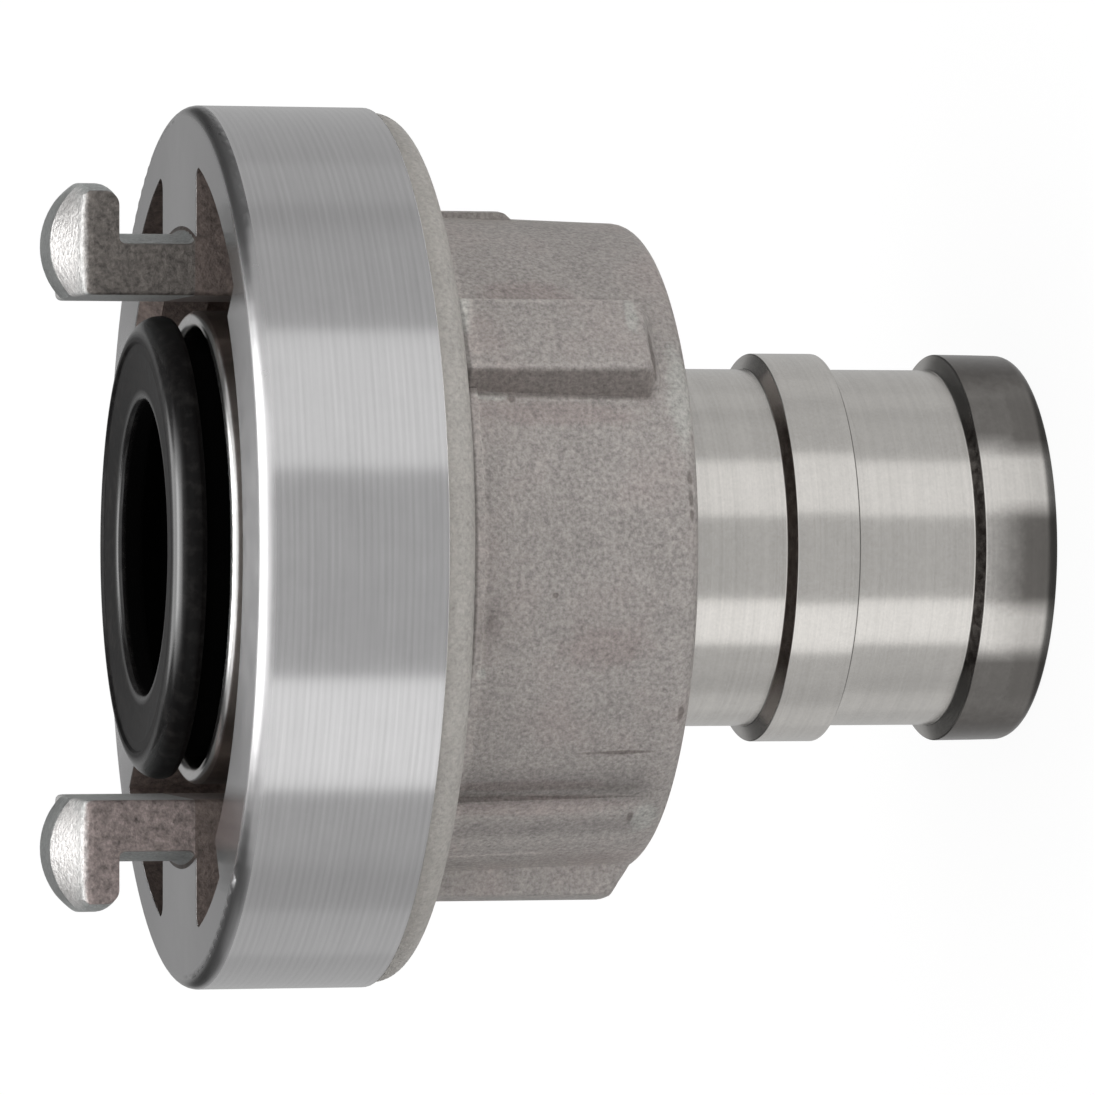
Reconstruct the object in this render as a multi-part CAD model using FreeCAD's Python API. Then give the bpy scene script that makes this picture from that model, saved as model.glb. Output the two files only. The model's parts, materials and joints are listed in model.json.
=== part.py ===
"""Quarter turn fire hose coupling for a 25 mm hose, in millimetres.

The axis is Z. The coupling stands on the end face of its hose tail at Z = 0, and its two
lugs point up, at +X and -X. Angles are measured about Z from -Y, the near side, towards +X.

Five real pieces make it: the lug ring, which turns freely on the hose tail; the hose tail
with its seal cup; the rubber lip seal; the spring wire ring that keeps the tail in the lug
ring; and the slip ring that the tail bears on.
"""
import FreeCAD
import Part
import math
import os

# Hose tail, from its end face upwards
RIDGE_RISE = 1.0
TAIL_WALL = 2.05
TAIL_END_ROUND = 0.9
END_RIDGE_L = 4.85
REAR_GROOVE_L = 8.05
MID_RIDGE_L = 4.05
FRONT_GROOVE_L = 8.15
RIDGE_SLOPE_L = 0.4
RIDGE_EDGE_ROUND = 0.12
WATERWAY_MOUTH = 0.35
NECK_FILLET = 0.8

# Bearing of the lug ring on the tail
BORE_TO_LUG = 0.7
SHOULDER_W = 2.35
RUNNING_FIT = 0.05
RIDGE_PASS = 0.15
END_PLAY = 0.1
REAR_WALL_L = 4.4
JOURNAL_EDGE = 0.4

# Slip ring
SLIP_RING_T = 1.0
SLIP_RING_FIT = 0.1

# Spring wire ring and its two grooves
WIRE_D = 1.5
WIRE_HEIGHT = 6.5
WIRE_SEAT_FIT = 0.05
WIRE_SIDE_FIT = 0.1
WIRE_GAP_DEG = 24.0
WIRE_BITE = 0.15

# Seal cup at the front of the tail
CUP_WALL = 1.0
CUP_DEPTH = 5.2
CUP_SETBACK = 0.65
CUP_RIM_ROUND = 0.3
CUP_UNDERCUT = 0.3
CUP_UNDERCUT_L = 1.9

# Lip seal
SEAL_FIT = 0.05
SEAL_LAP = 0.1
SEAL_LIP = 1.45
SEAL_PROUD = 2.8
SEAL_HEAD_INSET = 0.35
SEAL_HEAD_T = 2.0
SEAL_SHOULDER = 1.7
SEAL_DISH = 0.9
SEAL_CREST_ROUND = 0.15
SEAL_NECK_INSET = 0.75
SEAL_BEAD_T = 1.7
SEAL_EDGE_ROUND = 0.35

# Lug ring body
HUB_WALL = 5.6
HUB_DRAFT = 0.5
HUB_L = 15.3
HUB_CORNER = 1.2
HUB_FILLET = 1.5
HOLE_MOUTH = 0.5
WEB_T = 3.5
RING_WALL = 3.2
BAND_L = 10.4
CAST_STEP = 0.3
RING_REAR_ROUND = 1.3
RING_FRONT_ROUND = 0.9
CHANNEL_DEPTH = 9.65
CHANNEL_FILLET = 0.8

# Locking rims inside the front of the ring
NECK_PASS = 0.8
RIM_T_THICK = 4.7
RIM_T_THIN = 4.1
RIM_CHAMFER = 1.3
RIM_END_ROUND = 0.7
LARGE_WINDOW_DEG = 50.0
SMALL_WINDOW_DEG = 35.0

# Lugs
LUG_SPACING = 31.0
LUG_W = 11.7
LUG_REACH = 8.45
LUG_T = 4.0
HOOK_REACH = 3.1
HOOK_PASS = 1.7
LUG_SLOT_L = 4.75
HOOK_DROP_OUTER = 1.9
HOOK_DROP_INNER = 1.9
CROWN_INSET = 0.5
HOOK_BACK_ROUND = 0.8
SLOT_CORNER = 0.45
WINDOW_CORNER = 0.9
CROWN_W = 3.9
FACET_DROP = 1.55
FACET_ROUND = 0.8
LUG_EDGE_ROUND = 0.35

# Grip ribs on the hub, with how far each head stops short of the hub's rear
RIB_HEAD_SETBACKS = (3.0, 3.0, 1.9)
RIB_RISE = 1.3
RIB_CENTRE_DEG = 35.9
RIB_HEAD_W = 5.3
RIB_DRAFT = 0.38
RIB_END_DRAFT = 0.6
RIB_CORNER = 1.2
RIB_EDGE_ROUND = 0.35
RIB_FILLET = 1.3

# Low cast features of the hub: a pad, a collar beside the web and a crease
PAD_FROM_DEG = 82.0
PAD_TO_DEG = 136.0
PAD_RISE = 0.5
PAD_L = 8.3
PAD_CORNER = 0.5
PAD_SLOPE_L = 1.4
COLLAR_FROM_DEG = -19.5
COLLAR_TO_DEG = 27.0
COLLAR_RISE = 0.25
COLLAR_L = 0.4
COLLAR_CORNER = 0.15
COLLAR_SLOPE_L = 0.2
CREASE_DEG = -48.2
CREASE_SPREAD_DEG = 14.0
CREASE_DEPTH = 0.45
CREASE_BULGE = 0.55
CREASE_SETBACK = 1.8

# How far a joined solid reaches into its neighbour, and a cut past the surface
OVERLAP = 0.5

# Heights that follow from the lengths above
MID_RIDGE_Z = END_RIDGE_L + REAR_GROOVE_L
FRONT_GROOVE_Z = MID_RIDGE_Z + MID_RIDGE_L
HUB_REAR_Z = FRONT_GROOVE_Z + FRONT_GROOVE_L
SHOULDER_Z = HUB_REAR_Z + REAR_WALL_L
JOURNAL_Z = SHOULDER_Z + SLIP_RING_T + END_PLAY
WIRE_Z = SHOULDER_Z + WIRE_HEIGHT
RING_REAR_Z = HUB_REAR_Z + HUB_L
FLOOR_Z = RING_REAR_Z + WEB_T
FRONT_Z = FLOOR_Z + CHANNEL_DEPTH
BAND_REAR_Z = FRONT_Z - RING_FRONT_ROUND - BAND_L
CUP_RIM_Z = FRONT_Z - CUP_SETBACK
CUP_FLOOR_Z = CUP_RIM_Z - CUP_DEPTH
LUG_TIP_Z = FRONT_Z + LUG_REACH
SLOT_TOP_Z = FRONT_Z + LUG_SLOT_L

# Radii that follow from the spacing of the lugs, outwards
LUG_INNER_X = LUG_SPACING / 2
LUG_NECK_R = LUG_INNER_X + LUG_T
HOOK_CROWN_R = LUG_NECK_R - CROWN_INSET
RIM_R = LUG_NECK_R + NECK_PASS
HOOK_R = LUG_NECK_R + HOOK_REACH
CHANNEL_R = HOOK_R + HOOK_PASS
BAND_R = CHANNEL_R + RING_WALL
CAST_R = BAND_R - CAST_STEP

# Radii that follow from the spacing of the lugs, inwards
BORE_R = LUG_INNER_X - BORE_TO_LUG
JOURNAL_R = BORE_R - RUNNING_FIT
WIRE_PITCH_R = BORE_R + WIRE_BITE
CUP_R = JOURNAL_R - CUP_WALL
REAR_HOLE_R = BORE_R - SHOULDER_W
TAIL_RIDGE_R = REAR_HOLE_R - RIDGE_PASS
TAIL_GROOVE_R = TAIL_RIDGE_R - RIDGE_RISE
WATERWAY_R = TAIL_GROOVE_R - TAIL_WALL
SEAL_HEAD_R = JOURNAL_R - SEAL_HEAD_INSET
SEAL_CREST_R = SEAL_HEAD_R - SEAL_SHOULDER
SEAL_NECK_R = CUP_R - SEAL_NECK_INSET
SEAL_HOLE_R = WATERWAY_R - SEAL_LAP
SEAL_INNER_R = SEAL_HOLE_R + SEAL_LIP

# Radii of the hub and its features
HUB_R_REAR = BORE_R + HUB_WALL
HUB_R_FRONT = HUB_R_REAR + HUB_DRAFT
RIB_R = HUB_R_FRONT + RIB_RISE

ORIGIN = FreeCAD.Vector(0, 0, 0)
AXIS = FreeCAD.Vector(0, 0, 1)
# The outlines are drawn in the XZ plane, at +X, and angles start from -Y
FROM_X_DEG = -90.0
# Two places this near each other are the same
SAME = 1e-6


def corner(r, z, round_r=0.0):
    """One corner of an outline, with the radius that rounds it."""
    return ("corner", r, z, round_r)


def via(r, z):
    """A point that an arc passes, between the corners before and after it."""
    return ("via", r, z, 0.0)


def unit(vector):
    """The vector at length one."""
    return vector.multiply(1.0 / vector.Length)


def outline_face(items):
    """A face in the XZ plane from corners in order, rounded and joined by lines or arcs."""
    points = [FreeCAD.Vector(r, 0, z) for _, r, z, _ in items]
    count = len(items)
    leaves = {}
    edges = []
    for i, (kind, _, _, round_r) in enumerate(items):
        if kind == "via":
            continue
        here = points[i]
        if round_r <= 0:
            leaves[i] = (here, here)
            continue
        back = unit(points[i - 1] - here)
        ahead = unit(points[(i + 1) % count] - here)
        half = back.getAngle(ahead) / 2
        reach = round_r / math.tan(half)
        start = here + back * reach
        end = here + ahead * reach
        middle = here + unit(back + ahead) * (round_r / math.sin(half) - round_r)
        edges.append(Part.Arc(start, middle, end).toShape())
        leaves[i] = (start, end)
    for i in leaves:
        follower = (i + 1) % count
        if items[follower][0] == "via":
            last = (i + 2) % count
            edges.append(Part.Arc(leaves[i][1], points[follower], leaves[last][0]).toShape())
        elif (leaves[follower][0] - leaves[i][1]).Length > SAME:
            edges.append(Part.makeLine(leaves[i][1], leaves[follower][0]))
    return Part.Face(Part.Wire(Part.__sortEdges__(edges)))


def turned(items):
    """A full turned solid from its outline."""
    return outline_face(items).revolve(ORIGIN, AXIS, 360)


def sector(items, from_deg, to_deg):
    """The part of a turned solid between two angles."""
    solid = outline_face(items).revolve(ORIGIN, AXIS, to_deg - from_deg)
    solid.rotate(ORIGIN, AXIS, from_deg + FROM_X_DEG)
    return solid


def tube(inner_r, outer_r, low_z, high_z):
    """A plain ring between two radii and two heights."""
    return turned([
        corner(inner_r, low_z),
        corner(outer_r, low_z),
        corner(outer_r, high_z),
        corner(inner_r, high_z),
    ])


def hub_radius(z):
    """The hub's outer radius at a height, on its cast draft."""
    share = (z - HUB_REAR_Z) / HUB_L
    return HUB_R_REAR + (HUB_R_FRONT - HUB_R_REAR) * share


def save(shape, name):
    """Write one piece, as a clean solid, to its own file."""
    solid = shape.removeSplitter()
    if not solid.isValid() or len(solid.Solids) != 1:
        raise RuntimeError(name + " is not one sound solid")
    solid.Solids[0].exportStep("parts/" + name + ".step")
    print(name, round(solid.Volume, 1), "mm3")


def hose_tail():
    """The turned tail: two hose ridges, the bearing journal and the seal cup."""
    wire_floor_r = JOURNAL_R - WIRE_D - WIRE_SIDE_FIT
    wire_half = WIRE_D / 2 + WIRE_SIDE_FIT
    undercut_r = CUP_R + CUP_UNDERCUT
    undercut_top = CUP_FLOOR_Z + CUP_UNDERCUT_L
    return turned([
        corner(WATERWAY_R, WATERWAY_MOUTH),
        corner(WATERWAY_R + WATERWAY_MOUTH, 0),
        corner(TAIL_RIDGE_R, 0, TAIL_END_ROUND),
        corner(TAIL_RIDGE_R, END_RIDGE_L, RIDGE_EDGE_ROUND),
        corner(TAIL_GROOVE_R, END_RIDGE_L + RIDGE_SLOPE_L, RIDGE_EDGE_ROUND),
        corner(TAIL_GROOVE_R, MID_RIDGE_Z, RIDGE_EDGE_ROUND),
        corner(TAIL_RIDGE_R, MID_RIDGE_Z, RIDGE_EDGE_ROUND),
        corner(TAIL_RIDGE_R, FRONT_GROOVE_Z, RIDGE_EDGE_ROUND),
        corner(TAIL_GROOVE_R, FRONT_GROOVE_Z + RIDGE_SLOPE_L, RIDGE_EDGE_ROUND),
        corner(TAIL_GROOVE_R, JOURNAL_Z, NECK_FILLET),
        corner(JOURNAL_R, JOURNAL_Z, JOURNAL_EDGE),
        corner(JOURNAL_R, WIRE_Z - wire_half),
        corner(wire_floor_r, WIRE_Z - wire_half),
        corner(wire_floor_r, WIRE_Z + wire_half),
        corner(JOURNAL_R, WIRE_Z + wire_half),
        corner(JOURNAL_R, CUP_RIM_Z, CUP_RIM_ROUND),
        corner(CUP_R, CUP_RIM_Z, CUP_RIM_ROUND),
        corner(CUP_R, undercut_top),
        corner(undercut_r, undercut_top),
        corner(undercut_r, CUP_FLOOR_Z),
        corner(WATERWAY_R, CUP_FLOOR_Z),
    ])


def lip_seal():
    """The rubber seal: a bead held in the cup, a neck, and a lipped head ahead of the ring."""
    crest_z = FRONT_Z + SEAL_PROUD
    under_z = crest_z - SEAL_HEAD_T
    bead_r = CUP_R + CUP_UNDERCUT - SEAL_FIT
    bead_top = CUP_FLOOR_Z + SEAL_BEAD_T
    lip_z = crest_z - SEAL_DISH
    return turned([
        corner(WATERWAY_R, CUP_FLOOR_Z),
        corner(bead_r, CUP_FLOOR_Z),
        corner(bead_r, bead_top, SEAL_EDGE_ROUND),
        corner(SEAL_NECK_R, bead_top, SEAL_EDGE_ROUND),
        corner(SEAL_NECK_R, under_z, SEAL_EDGE_ROUND),
        corner(SEAL_HEAD_R, under_z, SEAL_EDGE_ROUND),
        corner(SEAL_HEAD_R, crest_z, SEAL_SHOULDER - SEAL_CREST_ROUND),
        corner(SEAL_CREST_R, crest_z, SEAL_CREST_ROUND),
        corner(SEAL_HOLE_R, lip_z, SEAL_EDGE_ROUND),
        corner(SEAL_HOLE_R, under_z, SEAL_EDGE_ROUND),
        corner(SEAL_INNER_R, under_z - SEAL_LIP),
        corner(SEAL_INNER_R, bead_top + (SEAL_INNER_R - WATERWAY_R)),
        corner(WATERWAY_R, bead_top),
    ])


def slip_ring():
    """The flat ring between the lug ring's shoulder and the end of the journal."""
    low_z = SHOULDER_Z
    high_z = SHOULDER_Z + SLIP_RING_T
    return tube(REAR_HOLE_R + SLIP_RING_FIT, BORE_R - SLIP_RING_FIT, low_z, high_z)


def retaining_ring():
    """The open spring wire ring, half in the lug ring's groove and half in the tail's."""
    centre = FreeCAD.Vector(WIRE_PITCH_R, 0, WIRE_Z)
    circle = Part.makeCircle(WIRE_D / 2, centre, FreeCAD.Vector(0, 1, 0))
    section = Part.Face(Part.Wire(circle))
    wire = section.revolve(ORIGIN, AXIS, 360 - WIRE_GAP_DEG)
    wire.rotate(ORIGIN, AXIS, WIRE_GAP_DEG / 2)
    return wire


def ring_body():
    """The hub, web and outer wall of the lug ring, as one turned casting."""
    groove_half = WIRE_D / 2 + WIRE_SIDE_FIT
    groove_r = WIRE_PITCH_R + WIRE_D / 2 + WIRE_SEAT_FIT
    return turned([
        corner(REAR_HOLE_R, HUB_REAR_Z + HOLE_MOUTH),
        corner(REAR_HOLE_R + HOLE_MOUTH, HUB_REAR_Z),
        corner(HUB_R_REAR, HUB_REAR_Z, HUB_CORNER),
        corner(HUB_R_FRONT, RING_REAR_Z, HUB_FILLET),
        corner(CAST_R, RING_REAR_Z, RING_REAR_ROUND),
        corner(CAST_R, BAND_REAR_Z),
        corner(BAND_R, BAND_REAR_Z),
        corner(BAND_R, FRONT_Z, RING_FRONT_ROUND),
        corner(CHANNEL_R, FRONT_Z),
        corner(CHANNEL_R, FLOOR_Z, CHANNEL_FILLET),
        corner(BORE_R, FLOOR_Z, HOLE_MOUTH),
        corner(BORE_R, WIRE_Z + groove_half),
        corner(groove_r, WIRE_Z + groove_half),
        corner(groove_r, WIRE_Z - groove_half),
        corner(BORE_R, WIRE_Z - groove_half),
        corner(BORE_R, SHOULDER_Z),
        corner(REAR_HOLE_R, SHOULDER_Z),
    ])


def locking_rim():
    """The rim that a mating hook runs behind, with its underside on a slight ramp."""
    from_deg = SMALL_WINDOW_DEG - 90
    to_deg = 90 - LARGE_WINDOW_DEG
    middle_deg = (from_deg + to_deg) / 2
    outer_r = CHANNEL_R + OVERLAP
    rim = sector([
        corner(RIM_R, FRONT_Z - RIM_CHAMFER),
        corner(RIM_R + RIM_CHAMFER, FRONT_Z),
        corner(outer_r, FRONT_Z),
        corner(outer_r, FRONT_Z - RIM_T_THICK - OVERLAP),
        corner(RIM_R, FRONT_Z - RIM_T_THICK - OVERLAP),
    ], from_deg, to_deg)
    half_chord = CHANNEL_R * math.sin(math.radians(to_deg - middle_deg))
    ramp_deg = math.degrees(math.atan((RIM_T_THICK - RIM_T_THIN) / (2 * half_chord)))
    middle_t = (RIM_T_THICK + RIM_T_THIN) / 2
    size = 2 * BAND_R
    below = Part.makeBox(size, size, size, FreeCAD.Vector(-size / 2, -size / 2, -size))
    below.rotate(ORIGIN, FreeCAD.Vector(0, 1, 0), ramp_deg)
    below.rotate(ORIGIN, AXIS, middle_deg)
    below.translate(FreeCAD.Vector(0, 0, FRONT_Z - middle_t))
    rim = rim.cut(below)
    return rim.makeFillet(RIM_END_ROUND, upright_edges(rim, RIM_R))


def upright_edges(solid, radius):
    """The edges of a solid that stand parallel to the axis at one radius from it."""
    found = []
    for edge in solid.Edges:
        low = edge.Vertexes[0].Point
        high = edge.Vertexes[-1].Point
        parallel = math.hypot(high.x - low.x, high.y - low.y) < SAME < abs(high.z - low.z)
        if parallel and abs(math.hypot(low.x, low.y) - radius) < SAME:
            found.append(edge)
    return found


def lug():
    """The lug at +X: its foot in the channel, the neck, the slot and the crowned hook."""
    root_r = LUG_INNER_X - OVERLAP
    spread_deg = 2 * math.degrees(math.asin(LUG_W / 2 / LUG_INNER_X))
    swept = sector([
        corner(root_r, FLOOR_Z - OVERLAP),
        corner(root_r, LUG_TIP_Z - HOOK_DROP_INNER),
        via(HOOK_CROWN_R, LUG_TIP_Z),
        corner(HOOK_R, LUG_TIP_Z - HOOK_DROP_OUTER),
        corner(HOOK_R, SLOT_TOP_Z, HOOK_BACK_ROUND),
        corner(LUG_NECK_R, SLOT_TOP_Z, SLOT_CORNER),
        corner(LUG_NECK_R, FRONT_Z, SLOT_CORNER),
        corner(CHANNEL_R + OVERLAP, FRONT_Z),
        corner(CHANNEL_R + OVERLAP, FLOOR_Z - OVERLAP),
    ], 90 - spread_deg, 90 + spread_deg)
    depth = BAND_R - LUG_INNER_X
    blank_low = FreeCAD.Vector(LUG_INNER_X, -LUG_W / 2, FLOOR_Z - OVERLAP)
    blank = Part.makeBox(depth, LUG_W, LUG_TIP_Z - FLOOR_Z + 2 * OVERLAP, blank_low)
    body = swept.common(blank)
    for side in (1, -1):
        body = body.cut(above_facet(side))
    body = body.makeFillet(FACET_ROUND, [edge for edge in body.Edges if is_facet_edge(edge)])
    return body.makeFillet(LUG_EDGE_ROUND, [edge for edge in body.Edges if is_inner_edge(edge)])


def is_facet_edge(edge):
    """True for the edge between a lug's side and the facet at its front."""
    ends = [vertex.Point for vertex in edge.Vertexes]
    on_side = all(abs(abs(point.y) - LUG_W / 2) < SAME for point in ends)
    level = all(abs(point.z - LUG_TIP_Z + FACET_DROP) < SAME for point in ends)
    return on_side and level


def is_inner_edge(edge):
    """True for the two upright edges of a lug's flat inner face."""
    ends = [vertex.Point for vertex in edge.Vertexes]
    on_face = all(abs(point.x - LUG_INNER_X) < SAME for point in ends)
    upright = abs(ends[0].z - ends[-1].z) > LUG_SLOT_L
    return on_face and upright


def above_facet(side):
    """The space over one side of a hook's front, from the crown down to a level edge."""
    facet_w = (LUG_W - CROWN_W) / 2
    flat_y = side * CROWN_W / 2
    edge_z = LUG_TIP_Z - FACET_DROP
    growth = 1 + OVERLAP / facet_w
    crown = [
        FreeCAD.Vector(x, flat_y - side * OVERLAP, edge_z + (FACET_DROP - drop) * growth)
        for x, drop in (
            (LUG_INNER_X - OVERLAP, HOOK_DROP_INNER),
            (HOOK_CROWN_R, 0),
            (HOOK_R, HOOK_DROP_OUTER),
        )
    ]
    level = [FreeCAD.Vector(x, side * LUG_W / 2, edge_z) for x in (crown[0].x, crown[2].x)]
    inner = space_outline(crown[0], crown[2], Part.Arc(*crown).toShape())
    outer = space_outline(level[0], level[1], Part.makeLine(*level))
    return Part.makeLoft([inner, outer], True, True)


def space_outline(start, end, foot):
    """A closed outline above an edge that runs from one point to another."""
    top_z = LUG_TIP_Z + FACET_DROP
    above_end = FreeCAD.Vector(end.x, end.y, top_z)
    above_start = FreeCAD.Vector(start.x, start.y, top_z)
    return Part.Wire([
        foot,
        Part.makeLine(end, above_end),
        Part.makeLine(above_end, above_start),
        Part.makeLine(above_start, start),
    ])


def hub_step(outer_r, low_z, corner_r, slope_l, from_deg, to_deg):
    """A raised step on the hub between two angles, running up into the ring."""
    root_r = HUB_R_REAR - OVERLAP
    top_z = RING_REAR_Z + OVERLAP
    return sector([
        corner(root_r, low_z),
        corner(outer_r, low_z + slope_l, corner_r),
        corner(outer_r, top_z),
        corner(root_r, top_z),
    ], from_deg, to_deg)


def block_outline(out_x, half_w, low_z, top_z):
    """A four-sided outline that stands square to X, to draw a drafted block between two."""
    points = [
        FreeCAD.Vector(out_x, -half_w, low_z),
        FreeCAD.Vector(out_x, half_w, low_z),
        FreeCAD.Vector(out_x, half_w, top_z),
        FreeCAD.Vector(out_x, -half_w, top_z),
    ]
    return Part.makePolygon(points + points[:1])


def grip_rib(head_setback):
    """One raised rib of the hub, drafted on its sides and end, with a fillet up to the web."""
    root_x = HUB_R_REAR - OVERLAP
    beyond_x = RIB_R + OVERLAP
    head_z = HUB_REAR_Z + head_setback
    outlines = []
    for out_x in (root_x, beyond_x):
        sunk = RIB_R - out_x
        half_w = RIB_HEAD_W / 2 + RIB_DRAFT * sunk
        low_z = head_z - RIB_END_DRAFT * sunk
        outlines.append(block_outline(out_x, half_w, low_z, RING_REAR_Z + OVERLAP))
    block = Part.makeLoft(outlines, True)
    corners = [edge for edge in block.Edges if leans_out(edge, root_x, beyond_x)]
    block = block.makeFillet(RIB_CORNER, corners)
    rib = block.common(Part.makeCylinder(RIB_R, LUG_TIP_Z))
    rib = rib.makeFillet(RIB_EDGE_ROUND, [edge for edge in rib.Edges if bounds_head(edge)])
    half_deg = math.degrees(math.asin(RIB_HEAD_W / 2 / RIB_R))
    gusset = sector([
        corner(RIB_R - OVERLAP, RING_REAR_Z - RIB_FILLET),
        corner(RIB_R, RING_REAR_Z - RIB_FILLET),
        via(*fillet_middle(RIB_R, RING_REAR_Z, RIB_FILLET)),
        corner(RIB_R + RIB_FILLET, RING_REAR_Z),
        corner(RIB_R + RIB_FILLET, RING_REAR_Z + OVERLAP),
        corner(RIB_R - OVERLAP, RING_REAR_Z + OVERLAP),
    ], -half_deg - FROM_X_DEG, half_deg - FROM_X_DEG)
    rib = rib.fuse(gusset)
    rib.rotate(ORIGIN, AXIS, RIB_CENTRE_DEG + FROM_X_DEG)
    return rib


def fillet_middle(r, z, radius):
    """The middle point of a hollow fillet between an upright side and a web above it."""
    reach = radius * (1 - math.sqrt(0.5))
    return r + reach, z - reach


def leans_out(edge, root_x, beyond_x):
    """True for the two slanted edges at a drafted block's low end."""
    ends = [vertex.Point for vertex in edge.Vertexes]
    spans = abs(abs(ends[0].x - ends[1].x) - (beyond_x - root_x)) < SAME
    return spans and max(point.z for point in ends) < RING_REAR_Z


def bounds_head(edge):
    """True for the edges round a rib's head, apart from the one at the web."""
    ends = [vertex.Point for vertex in edge.Vertexes]
    on_head = all(abs(math.hypot(point.x, point.y) - RIB_R) < SAME for point in ends)
    return on_head and min(point.z for point in ends) < RING_REAR_Z


def crease_outline(depth, z):
    """The section of the crease at one height, with a bulged side and an upright one."""
    from_deg = CREASE_DEG + CREASE_SPREAD_DEG
    middle_deg = CREASE_DEG + CREASE_SPREAD_DEG / 2
    base_r = hub_radius(z)
    start = at_angle(base_r, from_deg, z)
    middle = at_angle(base_r - depth * (1 - CREASE_BULGE) / 2, middle_deg, z)
    foot = at_angle(base_r - depth, CREASE_DEG, z)
    edges = [
        Part.Arc(start, middle, foot).toShape(),
        Part.makeLine(foot, at_angle(RIB_R, CREASE_DEG, z)),
        Part.makeLine(at_angle(RIB_R, CREASE_DEG, z), at_angle(RIB_R, from_deg, z)),
        Part.makeLine(at_angle(RIB_R, from_deg, z), start),
    ]
    return Part.Wire(edges)


def at_angle(r, deg, z):
    """The point at a radius, an angle and a height."""
    turn = math.radians(deg + FROM_X_DEG)
    return FreeCAD.Vector(r * math.cos(turn), r * math.sin(turn), z)


def cast_crease():
    """The space of the crease in the hub, which runs out before the hub's rear corner."""
    top_z = RING_REAR_Z - HUB_FILLET
    low_z = HUB_REAR_Z + CREASE_SETBACK
    return Part.makeLoft([crease_outline(CREASE_DEPTH, top_z), crease_outline(SAME, low_z)], True)


def cast_collar():
    """The low collar on the near side of the hub, where the web's fillet starts."""
    low_z = RING_REAR_Z - HUB_FILLET - COLLAR_L
    outer_r = HUB_R_FRONT + COLLAR_RISE
    span = (COLLAR_FROM_DEG, COLLAR_TO_DEG)
    return hub_step(outer_r, low_z, COLLAR_CORNER, COLLAR_SLOPE_L, *span)


def cast_pad():
    """The low raised pad between two ribs, against the back of the ring."""
    low_z = RING_REAR_Z - PAD_L
    outer_r = hub_radius(low_z) + PAD_RISE
    return hub_step(outer_r, low_z, PAD_CORNER, PAD_SLOPE_L, PAD_FROM_DEG, PAD_TO_DEG)


def lug_ring():
    """The lug ring: the turned casting with its hub features, rims and lugs."""
    raised = [cast_pad(), cast_collar()]
    for place, head_setback in enumerate(RIB_HEAD_SETBACKS):
        rib = grip_rib(head_setback)
        rib.rotate(ORIGIN, AXIS, place * 360 / len(RIB_HEAD_SETBACKS))
        raised.append(rib)
    body = ring_body().fuse(raised).cut(cast_crease())
    fronts = []
    for turn_deg in (0, 180):
        for piece in (locking_rim(), lug()):
            piece.rotate(ORIGIN, AXIS, turn_deg)
            fronts.append(piece)
    body = body.fuse(fronts).removeSplitter()
    corners = [edge for edge in upright_edges(body, CHANNEL_R) if beside_lug(edge)]
    return body.makeFillet(WINDOW_CORNER, corners)


def beside_lug(edge):
    """True for an upright edge in line with a lug's sides."""
    return abs(abs(edge.Vertexes[0].Point.y) - LUG_W / 2) < SAME


os.makedirs("parts", exist_ok=True)
save(hose_tail(), "hose_tail")
save(lip_seal(), "lip_seal")
save(slip_ring(), "slip_ring")
save(retaining_ring(), "retaining_ring")
save(lug_ring(), "lug_ring")
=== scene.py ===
"""A quarter turn fire hose coupling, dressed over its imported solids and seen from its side.

The coupling stands on the end of its hose tail at Z = 0, with its two lugs up at +X and -X.
Sizes are in millimetres and become metres where a mesh or a lamp is placed. Angles are in
degrees round Z, from the near side (-Y) towards +X.
"""
import json
import logging
import math
from dataclasses import dataclass, field
from enum import Enum
from functools import reduce

import bmesh
import bpy
from mathutils import Matrix, Vector


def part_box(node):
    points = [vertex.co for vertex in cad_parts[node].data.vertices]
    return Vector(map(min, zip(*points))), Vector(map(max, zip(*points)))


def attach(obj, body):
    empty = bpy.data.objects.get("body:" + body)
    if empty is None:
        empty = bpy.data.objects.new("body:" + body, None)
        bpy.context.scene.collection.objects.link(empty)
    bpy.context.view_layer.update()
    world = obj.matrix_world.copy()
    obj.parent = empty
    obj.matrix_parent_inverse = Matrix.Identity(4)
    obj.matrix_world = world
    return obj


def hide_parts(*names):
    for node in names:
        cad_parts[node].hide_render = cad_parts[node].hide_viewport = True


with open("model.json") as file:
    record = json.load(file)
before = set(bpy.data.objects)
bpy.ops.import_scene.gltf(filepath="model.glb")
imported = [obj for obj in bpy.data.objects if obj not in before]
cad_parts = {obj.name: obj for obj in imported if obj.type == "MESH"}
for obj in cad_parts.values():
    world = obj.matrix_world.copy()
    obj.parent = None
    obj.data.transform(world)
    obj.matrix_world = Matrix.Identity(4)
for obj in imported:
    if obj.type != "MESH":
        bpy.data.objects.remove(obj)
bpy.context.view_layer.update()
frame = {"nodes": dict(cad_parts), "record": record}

MM = 0.001
TAIL_BODY = "tail"
Colour = tuple[float, float, float]
log = logging.getLogger("coupling")


class Slot(Enum):
    """The record's material slots."""

    CAST = "cast_aluminium"
    TURNED = "turned_aluminium"
    RUBBER = "seal_rubber"
    WIRE = "spring_wire"
    PLASTIC = "slip_plastic"


# The maths of the shaders


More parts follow.
